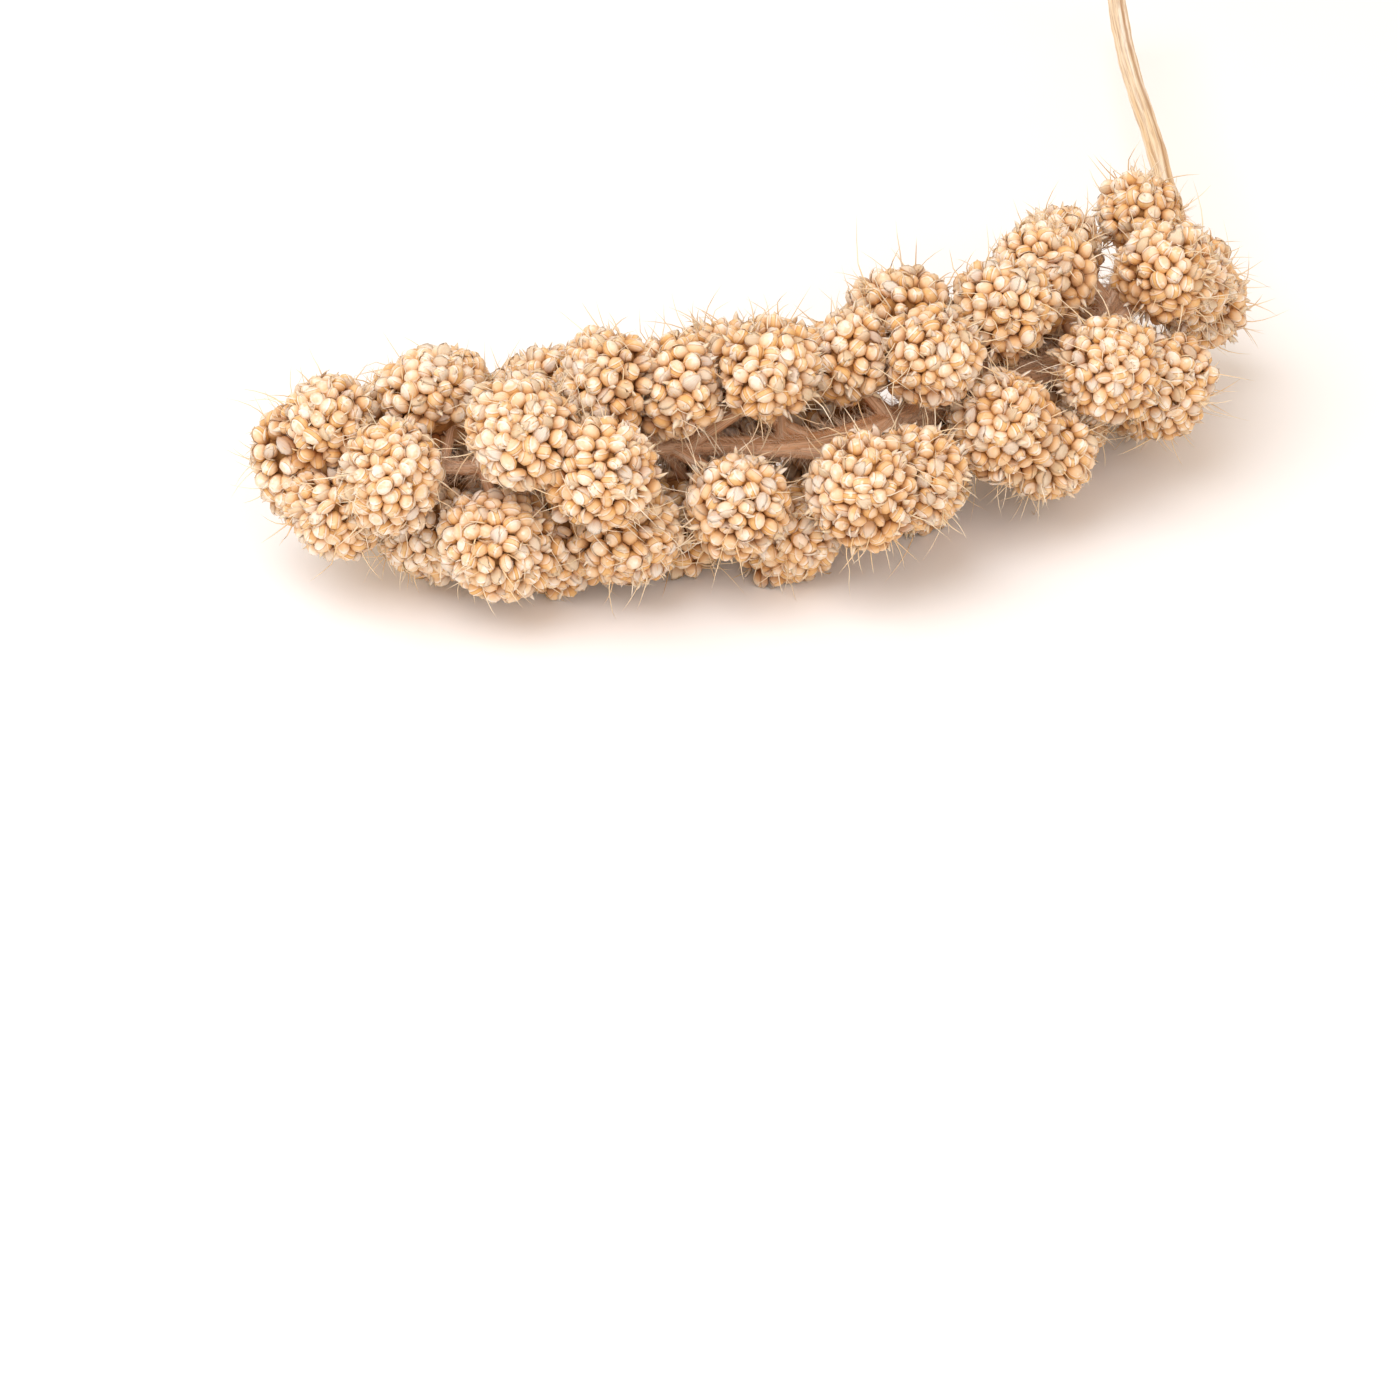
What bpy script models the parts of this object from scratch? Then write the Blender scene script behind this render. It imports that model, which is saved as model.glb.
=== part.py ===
"""A cut seed head of foxtail millet, lying on its side.

The stalk is one piece: a cut stem that runs on as the rachis, the axis of the head, with a short
side branch for each cluster. The clusters are tight balls of grain, each set on its own branch.
Each grain is a raised point of its cluster's surface, a little larger than life.
Lengths are in millimetres until a mesh is made. Z is up, and the head rests on Z = 0. Seen from
above, the stem runs along Y and the head bends round to X.
"""

import math

import bmesh
import bpy
import numpy as np

METRES = 0.001
PLACE_SEED = 323
SHAPE_SEED = 11

# The axis, from the cut end of the stem to the tip of the rachis
STEM_LENGTH = 68.0
RACHIS_LENGTH = 95.0
AXIS_HEIGHT = 12.6  # of the rachis above the surface that the head lies on
STEM_DROOP = 2.1  # of the cut end below that
START_HEADING = -85.6  # degrees, seen from above, at the cut end
BEND = -90.9  # degrees that the axis turns through on its way to the tip
BEND_START = 35.4  # along the axis from the cut end
BEND_END = 152.1
WAVE = 14.0  # degrees that the head weaves to each side of that bend
WAVE_LENGTH = 30.3
WAVE_START = 55.0
WAVE_GROWTH = 20.0  # length over which the weave sets in
WAVE_ZERO = 17.0
STEM_TURN = -7.0  # degrees more at the cut end, which straightens the stem
STEM_TURN_END = 60.0
KINK = 6.0  # degrees that the stem bends aside, just before the head
KINK_PLACE = 60.0
KINK_LENGTH = 6.0
AXIS_STEP = 0.5

# Thickness of the stalk
STEM_RADIUS = 1.05
FLARE_RADIUS = 1.45  # where the first branches leave
FLARE_LENGTH = 12.0
TIP_RADIUS = 0.5
GROOVE = 0.08  # depth of the grooves, as a share of the radius
STALK_SIDES = 10
STALK_STEP = 3.5

# Side branches
BRANCH_RADIUS = 0.7
BRANCH_END_RADIUS = 0.5
BRANCH_FOOT = 0.75  # at most this share of the rachis in thickness
BRANCH_SIDES = 5
BRANCH_IN_CLUSTER = 2.3  # length of branch that stands inside its cluster

# Clusters
CLUSTERS = 50
GOLDEN_ANGLE = -137.508
FIRST_ANGLE = 216.0
FIRST_CLUSTER = 5.0  # from the foot of the head to the first cluster's branch
LAST_CLUSTER = 1.0  # from the last cluster's branch to the end of the rachis
ANGLE_JITTER = 16.0
ALONG_JITTER = 1.0
CROWDING = 0.18  # share by which the clusters crowd closer at the tip, and spread at the foot
BARE_PLACE = 129.0  # along the axis, where the clusters part and the rachis shows
BARE_LENGTH = 14.0  # to each side of that
BARE_ANGLE = 145.0
BARE_HALF_ANGLE = 48.0
BARE_CROWDING = 0.25
REACH = 7.6  # from the rachis to the middle of a full cluster
REACH_JITTER = 1.1
HALF_DEPTH = 5.0  # of a full cluster, outwards from the rachis
HALF_WIDTH = 5.45
SIZE_JITTER = 0.07
LEAN = 12.0  # degrees towards the tip, part way along the head
TIP_LEAN = 56.0
LAST_LEAN = 88.0
TIP_SHRINK = 0.05
FOOT_SHRINK = 0.06
TIP_SHARE = 0.20  # of the clusters, that lean over the end of the rachis
FOOT_SHARE = 0.10  # of the clusters, that stand straight out at the foot
LUMP = 0.07
GAP = 0.3  # kept between pieces
CURVE_ROOM = 0.3  # more, beside the rachis, which curves

# Grains
GRAIN_SPACING = 2.9
GRAIN_RISE = 0.65
RISE_JITTER = 0.12
GRAIN_AREA = 0.87  # of a grain, as a share of its spacing squared
RING_ANGLE = 3.8  # from the pole to the five grains round it, over the root of the number of grains
LOWEST_REST = 1.5  # times that, to the first of the other grains
RELAX_ROUNDS = 60
RELAX_STEP = 0.6
CORNER_MERGE = 0.06  # radians: corners nearer than this are one
HOLE_TAPER = 0.9
DOWNWARDS = 0.2  # downward share of a direction, past which it counts as facing down
PRESSED = 1.5  # grains this near the surface underneath are pressed level with it
SHORTEST_EDGE = 0.02


def smooth(x):
    """0 to 1 with level ends, as x goes from 0 to 1."""
    x = np.clip(x, 0.0, 1.0)
    return x * x * (3.0 - 2.0 * x)


def unit(v):
    return v / np.linalg.norm(v, axis=-1, keepdims=True)


def clear_scene():
    for obj in list(bpy.data.objects):
        bpy.data.objects.remove(obj)


def material(name, colour, roughness):
    made = bpy.data.materials.new(name)
    made.use_nodes = True
    shader = made.node_tree.nodes["Principled BSDF"]
    shader.inputs["Base Color"].default_value = (*colour, 1.0)
    shader.inputs["Roughness"].default_value = roughness
    shader.inputs["Metallic"].default_value = 0.0
    return made


class Axis:
    """The centreline. Its heading turns smoothly, and the stem droops a little to its cut end."""

    def __init__(self):
        self.length = STEM_LENGTH + RACHIS_LENGTH
        self.s = np.arange(0.0, self.length + AXIS_STEP, AXIS_STEP)
        turn = smooth((self.s - BEND_START) / (BEND_END - BEND_START))
        weave = np.sin(2.0 * math.pi * (self.s - WAVE_ZERO) / WAVE_LENGTH)
        weave = weave * smooth((self.s - WAVE_START) / WAVE_GROWTH)
        stem = STEM_TURN * (1.0 - smooth(self.s / STEM_TURN_END))
        stem = stem + KINK * np.exp(-(((self.s - KINK_PLACE) / KINK_LENGTH) ** 2))
        heading = np.radians(START_HEADING + BEND * turn + WAVE * weave + stem)
        x = np.cumsum(np.cos(heading)) * AXIS_STEP
        y = np.cumsum(np.sin(heading)) * AXIS_STEP
        rise = smooth(self.s / STEM_LENGTH)
        z = AXIS_HEIGHT - STEM_DROOP * (1.0 - rise)
        self.points = np.stack([x, y, z], axis=1)

    def at(self, s):
        """Point, tangent, sideways and upwards directions at a distance s from the cut end."""
        point = np.array([np.interp(s, self.s, self.points[:, k]) for k in range(3)])
        ahead = np.array([np.interp(s + 1.0, self.s, self.points[:, k]) for k in range(3)])
        behind = np.array([np.interp(s - 1.0, self.s, self.points[:, k]) for k in range(3)])
        tangent = unit(ahead - behind)
        side = unit(np.cross(tangent, [0.0, 0.0, 1.0]))
        return point, tangent, side, np.cross(side, tangent)

    def nearest(self, place):
        """The point of the axis nearest to a place, and its distance from the cut end."""
        index = int(np.linalg.norm(self.points - place, axis=1).argmin())
        return self.points[index], float(self.s[index])


def stalk_radius(s):
    """Even along the stem, flared at the foot of the head, and tapered to the tip."""
    flare = smooth((s - STEM_LENGTH + FLARE_LENGTH) / FLARE_LENGTH)
    taper = np.clip((s - STEM_LENGTH) / RACHIS_LENGTH, 0.0, 1.0)
    stem = STEM_RADIUS + (FLARE_RADIUS - STEM_RADIUS) * flare
    return stem + (TIP_RADIUS - FLARE_RADIUS) * taper


def mesh_object(name, points, faces, made_of):
    """An object whose mesh has these points, given in millimetres."""
    mesh = bpy.data.meshes.new(name)
    mesh.from_pydata([tuple(p) for p in points * METRES], [], faces)
    mesh.materials.append(made_of)
    obj = bpy.data.objects.new(name, mesh)
    bpy.context.scene.collection.objects.link(obj)
    return obj


def tube(rings):
    """Points and faces of a closed tube through rings of points, with a flat cap on each end."""
    sides = len(rings[0])
    points = np.concatenate(rings)
    faces = []
    for k in range(len(rings) - 1):
        for j in range(sides):
            a = k * sides + j
            b = k * sides + (j + 1) % sides
            faces.append((a, b, b + sides, a + sides))
    faces.append(tuple(range(sides))[::-1])
    faces.append(tuple(range(len(points) - sides, len(points))))
    return points, faces


def stalk_rings(axis):
    """Cross-sections of the stem and rachis: circles with every other point drawn in, as grooves."""
    count = int(axis.length / STALK_STEP)
    rings = []
    for s in np.linspace(0.0, axis.length, count + 1):
        point, _, side, up = axis.at(s)
        turn = np.arange(STALK_SIDES) * 2.0 * math.pi / STALK_SIDES
        radius = stalk_radius(s) * (1.0 - GROOVE * (np.arange(STALK_SIDES) % 2))
        ring = point + (radius * np.cos(turn))[:, None] * side + (radius * np.sin(turn))[:, None] * up
        rings.append(ring[::-1])
    return rings


def part_clusters(place, angle):
    """The angle round the rachis, in degrees, turned away where it comes too near the bare place."""
    off = (angle - BARE_ANGLE + 180.0) % 360.0 - 180.0
    near = BARE_HALF_ANGLE * math.sqrt(max(0.0, 1.0 - ((place - BARE_PLACE) / BARE_LENGTH) ** 2))
    if abs(off) >= near:
        return angle
    return BARE_ANGLE + math.copysign(near + BARE_CROWDING * abs(off), off)


class Cluster:
    """Where one cluster stands, which way it points and how large it is."""

    def __init__(self, axis, index, jitter, draw):
        share = index / (CLUSTERS - 1)
        self.tip_end = float(smooth((share - 1.0 + TIP_SHARE) / TIP_SHARE))
        self.foot_end = float(smooth((FOOT_SHARE - share) / FOOT_SHARE))
        self.size = 1.0 - TIP_SHRINK * self.tip_end - FOOT_SHRINK * self.foot_end
        self.half_depth = HALF_DEPTH * self.size * draw.uniform(1.0 - SIZE_JITTER, 1.0 + SIZE_JITTER)
        self.half_width = HALF_WIDTH * self.size * draw.uniform(1.0 - SIZE_JITTER, 1.0 + SIZE_JITTER)
        self.stand(axis, index, jitter)
        self.roll(draw.uniform(0.0, 2.0 * math.pi))
        self.phases = draw.uniform(0.0, 2.0 * math.pi, 3)

    def stand(self, axis, index, jitter):
        """Sets the cluster on the spiral round the rachis, at the end of a branch."""
        share = index / (CLUSTERS - 1)
        spread = RACHIS_LENGTH - FIRST_CLUSTER - LAST_CLUSTER
        along = share * (1.0 + CROWDING) - CROWDING * share**2
        place = STEM_LENGTH + FIRST_CLUSTER + along * spread + jitter[0] * ALONG_JITTER
        place = min(place, axis.length - LAST_CLUSTER)
        self.root, tangent, side, up = axis.at(place)
        angle = FIRST_ANGLE + index * GOLDEN_ANGLE + jitter[1] * ANGLE_JITTER
        angle = math.radians(part_clusters(place, angle))
        lean = LEAN + (TIP_LEAN - LEAN) * self.tip_end - LEAN * self.foot_end
        lean = math.radians(LAST_LEAN if index == CLUSTERS - 1 else lean)
        outwards = math.cos(angle) * side + math.sin(angle) * up
        self.axis = math.cos(lean) * outwards + math.sin(lean) * tangent
        self.across = unit(np.cross(self.axis, tangent + 0.1 * side))
        self.second = np.cross(self.axis, self.across)
        reach = REACH * self.size + jitter[2] * REACH_JITTER * (1.0 - self.tip_end)
        if self.axis[2] < -DOWNWARDS:
            reach = min(reach, (AXIS_HEIGHT - HALF_WIDTH * self.size) / -self.axis[2])
        self.centre = self.root + self.axis * reach
        beside, where = axis.nearest(self.centre)
        apart = float(np.linalg.norm(self.centre - beside))
        self.away = (self.centre - beside) / apart
        self.room = apart - float(stalk_radius(where)) - GAP - CURVE_ROOM
        self.foot_radius = min(BRANCH_RADIUS, BRANCH_FOOT * float(stalk_radius(place)))

    def roll(self, turn):
        """Turns the cluster about its own axis."""
        across = math.cos(turn) * self.across + math.sin(turn) * self.second
        self.second = np.cross(self.axis, across)
        self.across = across

    def radius(self, directions):
        """Distance from the centre to the surface: an ellipsoid with a few low lumps."""
        along = directions @ self.axis
        wide = np.sqrt(np.clip(1.0 - along**2, 0.0, 1.0))
        plain = 1.0 / np.sqrt((along / self.half_depth) ** 2 + (wide / self.half_width) ** 2)
        a = directions @ self.across
        b = directions @ self.second
        lumps = np.sin(3.0 * a + self.phases[0]) + np.sin(3.0 * b + self.phases[1])
        lumps = lumps + np.sin(4.0 * a * b + self.phases[2])
        return plain * (1.0 + LUMP * lumps / 2.0)


class GrainNet:
    """Grain centres spread evenly over a unit sphere, and the corners where three grains meet.

    Grain 0 is straight down, where the branch comes in, with five grains evenly round it. The corner
    between three grains lies along the normal of the triangle of their centres.
    """

    def __init__(self, count):
        ring_angle = RING_ANGLE / math.sqrt(count)
        turn = np.arange(5) * 2.0 * math.pi / 5
        ring = np.stack(
            [
                math.sin(ring_angle) * np.cos(turn),
                math.sin(ring_angle) * np.sin(turn),
                np.full(5, -math.cos(ring_angle)),
            ],
            axis=1,
        )
        rest = count - 6
        lowest = -math.cos(ring_angle * LOWEST_REST)
        z = lowest + (1.0 - lowest) * (np.arange(rest) + 0.5) / rest
        spiral = np.arange(rest) * math.radians(GOLDEN_ANGLE)
        flat = np.sqrt(1.0 - z**2)
        free = np.stack([flat * np.cos(spiral), flat * np.sin(spiral), z], axis=1)
        fixed = np.concatenate([[[0.0, 0.0, -1.0]], ring])
        self.centres = self.relax(fixed, free)
        self.triangles()

    @staticmethod
    def relax(fixed, free):
        """Pushes the free points apart until they are about evenly spread."""
        push = RELAX_STEP / (len(fixed) + len(free))
        for _ in range(RELAX_ROUNDS):
            every = np.concatenate([fixed, free])
            apart = free[:, None, :] - every[None, :, :]
            distance = np.linalg.norm(apart, axis=2)
            distance[distance < 1e-9] = 1e9
            force = (apart / distance[..., None] ** 4).sum(axis=1)
            force = unit(force) * np.minimum(np.linalg.norm(force, axis=1, keepdims=True) * push**2, push)
            free = unit(free + force)
        return np.concatenate([fixed, free])

    def triangles(self):
        """Corners, the edges round grain 0, and the outward facing triangles of the other grains."""
        bm = bmesh.new()
        for centre in self.centres:
            bm.verts.new(centre)
        bmesh.ops.convex_hull(bm, input=bm.verts)
        bmesh.ops.triangulate(bm, faces=bm.faces)
        bm.verts.index_update()
        bm.faces.index_update()
        corners = []
        for face in bm.faces:
            first, second, third = (np.array(v.co) for v in face.verts)
            normal = np.cross(second - first, third - first)
            corners.append(normal if normal @ first > 0.0 else -normal)
        corners = unit(np.array(corners))
        same = self.merge_corners(bm, corners)
        self.corners = unit(np.array([corners[same == k].sum(axis=0) for k in same]))
        count = len(self.centres)
        places = np.concatenate([self.centres, self.corners])
        self.faces = []
        self.base_edges = []
        for edge in bm.edges:
            first, second = (count + int(same[f.index]) for f in edge.link_faces)
            if first == second:
                continue
            for vertex in edge.verts:
                tri = self.outward((vertex.index, first, second), places)
                if vertex.index == 0:
                    self.base_edges.append(tri[1:])
                else:
                    self.faces.append(tri)
        bm.free()

    @staticmethod
    def merge_corners(bm, corners):
        """For each corner, the first of those that it is one with, as four grains nearly meet there."""
        same = np.arange(len(corners))
        for edge in bm.edges:
            first, second = (f.index for f in edge.link_faces)
            if np.linalg.norm(corners[first] - corners[second]) < CORNER_MERGE:
                low, high = sorted((same[first], same[second]))
                same[same == high] = low
        return same

    @staticmethod
    def outward(tri, places):
        a, b, c = (places[k] for k in tri)
        return tri if np.dot(np.cross(b - a, c - a), a + b + c) > 0.0 else (tri[0], tri[2], tri[1])


def limit(cluster, directions, distance, others):
    """Holds a cluster's surface back from its neighbours, the rachis and the surface underneath.

    A plane between each pair of centres, nearer the smaller one, keeps the two clusters apart. Each
    cluster stays on its own side of every plane, so that no two can cross.
    """
    for other in others:
        between = other.centre - cluster.centre
        apart = np.linalg.norm(between)
        share = cluster.half_width / (cluster.half_width + other.half_width)
        towards = directions @ (between / apart)
        room = share * apart - GAP / 2.0
        reach = np.where(towards > 1e-6, room / np.maximum(towards, 1e-6), np.inf)
        distance = np.minimum(distance, reach)
    inwards = -(directions @ cluster.away)
    reach = np.where(inwards > 1e-6, cluster.room / np.maximum(inwards, 1e-6), np.inf)
    return np.minimum(distance, reach)


def press(cluster, directions, distance):
    """Flattens the underside where the cluster bears on the surface that the head lies on."""
    downwards = -directions[:, 2]
    height = cluster.centre[2] - downwards * distance
    level = cluster.centre[2] / np.maximum(downwards, 1e-6)
    return np.where((downwards > DOWNWARDS) & (height < PRESSED), level, distance)


def cluster_mesh(cluster, net, others, draw):
    """Points and faces of one cluster: grain tips raised, the corners between them lowered.

    The grain that faces the rachis is left out, and a hole for the branch goes in there.
    """
    turned = np.stack([cluster.across, cluster.second, cluster.axis])
    tips = net.centres @ turned
    corners = net.corners @ turned
    directions = np.concatenate([tips, corners])
    distance = cluster.radius(directions)
    distance[: len(tips)] += draw.uniform(-RISE_JITTER, RISE_JITTER, len(tips))
    distance[len(tips) :] -= GRAIN_RISE
    distance = limit(cluster, directions, distance, others)
    distance = press(cluster, directions, distance)
    points = cluster.centre + directions * distance[:, None]
    faces = [tuple(f) for f in net.faces]
    mouth = {}
    for edge in net.base_edges:
        for corner in edge:
            mouth.setdefault(corner, len(points) + len(mouth))
    rim = points[list(mouth)]
    heart = rim.mean(axis=0)
    deep = BRANCH_IN_CLUSTER + GAP
    floor = heart + (rim - heart) * HOLE_TAPER + cluster.axis * deep
    level = (heart + cluster.axis * deep - floor) @ cluster.axis
    floor = floor + level[:, None] * cluster.axis
    points = np.concatenate([points, floor, [heart + cluster.axis * deep]])
    bottom = len(points) - 1
    for a, b in net.base_edges:
        faces.append((a, b, mouth[b]))
        faces.append((a, mouth[b], mouth[a]))
        faces.append((bottom, mouth[a], mouth[b]))
    points[0] = points[1]  # grain 0 is unused, and is dropped with the loose points
    return points, faces, heart


def branch_mesh(cluster, heart):
    """A tapered branch from inside the rachis to just short of the end of its hole."""
    end = heart + cluster.axis * BRANCH_IN_CLUSTER
    way = unit(end - cluster.root)
    across = unit(np.cross(way, [0.3, 0.2, 1.0]))
    second = np.cross(way, across)
    turn = np.arange(BRANCH_SIDES) * 2.0 * math.pi / BRANCH_SIDES
    ring = np.cos(turn)[:, None] * across + np.sin(turn)[:, None] * second
    foot = cluster.foot_radius
    rings = [cluster.root + ring * foot, end + ring * min(BRANCH_END_RADIUS, foot)]
    return tube(rings)


def drop_loose(obj):
    """Removes the points that no face uses."""
    bm = bmesh.new()
    bm.from_mesh(obj.data)
    bmesh.ops.delete(bm, geom=[v for v in bm.verts if not v.link_faces], context="VERTS")
    bm.to_mesh(obj.data)
    bm.free()


def drop_slivers(mesh):
    """Closes up the shortest edges, which the union leaves where two surfaces nearly meet."""
    bm = bmesh.new()
    bm.from_mesh(mesh)
    bmesh.ops.triangulate(bm, faces=bm.faces)
    bmesh.ops.dissolve_degenerate(bm, dist=SHORTEST_EDGE * METRES, edges=bm.edges)
    bm.to_mesh(mesh)
    bm.free()


def join_branches(stalk, branches):
    """One Boolean union makes the stalk and its branches a single solid."""
    tools = bpy.data.collections.new("branches")
    bpy.context.scene.collection.children.link(tools)
    for branch in branches:
        bpy.context.scene.collection.objects.unlink(branch)
        tools.objects.link(branch)
    union = stalk.modifiers.new("branches", "BOOLEAN")
    union.operation = "UNION"
    union.operand_type = "COLLECTION"
    union.collection = tools
    union.solver = "EXACT"
    bpy.context.view_layer.update()
    graph = bpy.context.evaluated_depsgraph_get()
    joined = bpy.data.meshes.new_from_object(stalk.evaluated_get(graph))
    stalk.modifiers.clear()
    stalk.data = joined
    drop_slivers(joined)
    for branch in branches:
        bpy.data.objects.remove(branch)
    bpy.data.collections.remove(tools)


def centre_on_origin(objects):
    """Moves every mesh, so that the origin is under the middle of the whole, on what it lies on."""
    every = np.concatenate([[v.co[:] for v in obj.data.vertices] for obj in objects])
    low = every.min(axis=0)
    high = every.max(axis=0)
    shift = np.array([(low[0] + high[0]) / 2.0, (low[1] + high[1]) / 2.0, low[2]])
    for obj in objects:
        for vertex in obj.data.vertices:
            vertex.co = [vertex.co[k] - shift[k] for k in range(3)]


def main():
    clear_scene()
    jitter = np.random.default_rng(PLACE_SEED).uniform(-1.0, 1.0, (3, CLUSTERS)).T
    draw = np.random.default_rng(SHAPE_SEED)
    straw = material("straw", (0.72, 0.56, 0.40), 0.7)
    grain = material("grain", (0.78, 0.56, 0.36), 0.6)
    axis = Axis()
    stalk = mesh_object("stalk", *tube(stalk_rings(axis)), straw)
    clusters = [Cluster(axis, index, jitter[index], draw) for index in range(CLUSTERS)]
    nets = {}
    objects = [stalk]
    branches = []
    for number, cluster in enumerate(clusters, start=1):
        area = 4.0 * math.pi * cluster.half_width * (cluster.half_width + cluster.half_depth) / 2.0
        count = 2 * int(area / (GRAIN_SPACING**2 * GRAIN_AREA) / 2)
        if count not in nets:
            nets[count] = GrainNet(count)
        others = [c for c in clusters if c is not cluster]
        points, faces, heart = cluster_mesh(cluster, nets[count], others, draw)
        obj = mesh_object(f"cluster_{number:02d}", points, faces, grain)
        drop_loose(obj)
        objects.append(obj)
        branches.append(mesh_object(f"branch_{number:02d}", *branch_mesh(cluster, heart), straw))
    join_branches(stalk, branches)
    centre_on_origin(objects)


main()
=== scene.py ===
"""A cut seed head of foxtail millet lying on a pale floor, seen from the photograph's angle.

Every cluster of the CAD model is replaced by a piece of its own: grains in their husks over the
whole of its rounded form, with empty husks, bristles and the brown heart between the grains. The
stalk is replaced by a grooved one with a branch to each cluster, and soft hairs cover its head end.
Lengths are in millimetres until a mesh is made.
"""

import math

import bmesh
import bpy
import numpy as np
from mathutils import Matrix


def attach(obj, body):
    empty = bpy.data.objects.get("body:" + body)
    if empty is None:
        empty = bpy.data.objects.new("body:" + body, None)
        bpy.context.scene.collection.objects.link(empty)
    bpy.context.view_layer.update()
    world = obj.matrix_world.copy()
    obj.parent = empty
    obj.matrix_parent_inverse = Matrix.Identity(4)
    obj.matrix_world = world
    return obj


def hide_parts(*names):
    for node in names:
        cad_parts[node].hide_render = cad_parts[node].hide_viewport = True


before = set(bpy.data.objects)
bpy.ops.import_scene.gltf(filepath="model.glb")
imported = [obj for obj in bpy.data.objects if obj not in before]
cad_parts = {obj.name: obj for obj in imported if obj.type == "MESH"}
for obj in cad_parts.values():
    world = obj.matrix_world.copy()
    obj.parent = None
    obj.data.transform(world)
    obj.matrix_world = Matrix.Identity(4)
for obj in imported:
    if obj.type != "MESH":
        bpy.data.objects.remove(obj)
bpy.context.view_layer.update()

METRES = 0.001
SEED = 41
FULL_TURN = 2.0 * math.pi
GOLDEN_ANGLE = math.radians(137.508)

# The stalk's centreline, as the CAD model has it
STEM_LENGTH = 68.0
RACHIS_LENGTH = 95.0
AXIS_HEIGHT = 12.6  # of the rachis above the floor
START_HEADING = -85.6  # degrees, seen from above, at the cut end
BEND = -90.9
BEND_START = 35.4
BEND_END = 152.1
WAVE = 14.0
WAVE_LENGTH = 30.3
WAVE_START = 55.0
WAVE_GROWTH = 20.0
WAVE_ZERO = 17.0
STEM_TURN = -7.0
STEM_TURN_END = 60.0
KINK = 6.0
KINK_PLACE = 60.0
KINK_LENGTH = 6.0
STEM_DROOP = 2.1
CUT_END = (40.126, 61.297)  # where it starts, seen from above
STEM_RADIUS = 1.05
FLARE_RADIUS = 1.45
FLARE_LENGTH = 12.0
TIP_RADIUS = 0.5
AXIS_STEP = 0.5  # between the points that the centreline is worked out at

# The stalk's surface. Places round it are angles from its right side, seen from the cut end
RIBS = 6
FINE_RIBS = 11
RIB_WINDING = 0.012  # radians for each millimetre
MAIN_GROOVE = 1.15
SIDE_GROOVE = 2.3
SIDE_GROOVE_WIDTH = 0.13
THICKEST_BRANCH = 0.7
BRANCH_END_RADIUS = 0.5

# A grain of foxtail millet in its husk
GRAIN_HALF_WIDTH = 0.87
GRAIN_HALF_LENGTH = 0.89
GRAIN_SPACING = 1.57
GRAIN_CLEARANCE = 1.88  # nearer than which neighbours push each other apart
PACKING = 0.866  # of a round grain's share of the surface, packed like a honeycomb
GRAIN_INSET = 0.76  # of its middle below the cluster's outline
TIP_INSET = 0.58  # the same at the tip of the head, where the clusters crowd together
BEAK = 0.06  # of a grain's blunt point, as a share of its size
BEAK_ANGLE = 0.35
FLAT_BACK = 0.9  # of the side away from the bulge, as a share of the round
UNFILLED = 0.1  # share of the grains, which stay narrower
UNFILLED_WIDTH = 0.74

# What else a cluster holds
SWELL_ANGLE = 0.42  # how far round a meeting of two clusters they swell
BRANCH_ROOM = 1.25  # round the branch, free of grains
CORE_INSET = 1.2
BARE_GRAINS = 0.15  # share of the grains whose husk leaf has gone
CRUMPLED = 0.16  # share of the husk leaves
EMPTY_HUSKS = 66
EMPTY_HUSK_LENGTH = 1.5
EMPTY_HUSK_HALF_WIDTH = 0.36
BRISTLES = 66
SHORT_BRISTLE = (1.9, 2.8)
LONG_BRISTLE = (2.8, 4.3)
BRISTLE_RADIUS = (0.065, 0.115)
KEY_LAMP_SIDE = np.array([-0.3, -0.4, 0.866])  # towards the key lamp: grains facing it get the least painted shade

# Down on the rachis and the branches
RACHIS_HAIRS = 8000
BRANCH_HAIRS = 2400
HAIR_LENGTH = (0.7, 2.0)
HAIR_RADIUS = (0.028, 0.042)

# The places of a cluster's materials
GRAIN, HUSK, HEART, BRISTLE = range(4)


def smooth(x):
    """0 to 1 with level ends, as x goes from 0 to 1: three x squared less two x cubed."""
    x = np.clip(x, 0.0, 1.0)
    return x * x * (3.0 - 2.0 * x)


def bell(x, width):
    """1 at 0, falling on both sides: e to the power of minus the square of x over width."""
    return np.exp(-((x / width) ** 2))


def unit(v):
    return v / np.maximum(np.linalg.norm(v, axis=-1, keepdims=True), 1e-9)


def frames(axes, draw):
    """For each axis, two directions square to it and to each other, turned at random, and itself."""
    helper = unit(draw.normal(size=axes.shape))
    across = unit(np.cross(axes, helper))
    return np.stack([across, np.cross(axes, across), axes], axis=1)


def spiral(count):
    """Directions spread evenly over a ball, each a golden angle round from the one below it."""
    z = (np.arange(count) + 0.5) / count * 2.0 - 1.0
    turn = np.arange(count) * GOLDEN_ANGLE
    flat = np.sqrt(1.0 - z * z)
    return np.stack([flat * np.cos(turn), flat * np.sin(turn), z], axis=1)


def waves(directions, fineness, draw):
    """A random number for each direction, alike for near ones: the mean of three sine waves."""
    ways = draw.normal(scale=fineness, size=(3, 3))
    return np.sin(directions @ ways + draw.uniform(0.0, 6.0, 3)).mean(axis=1)


# Meshes


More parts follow.
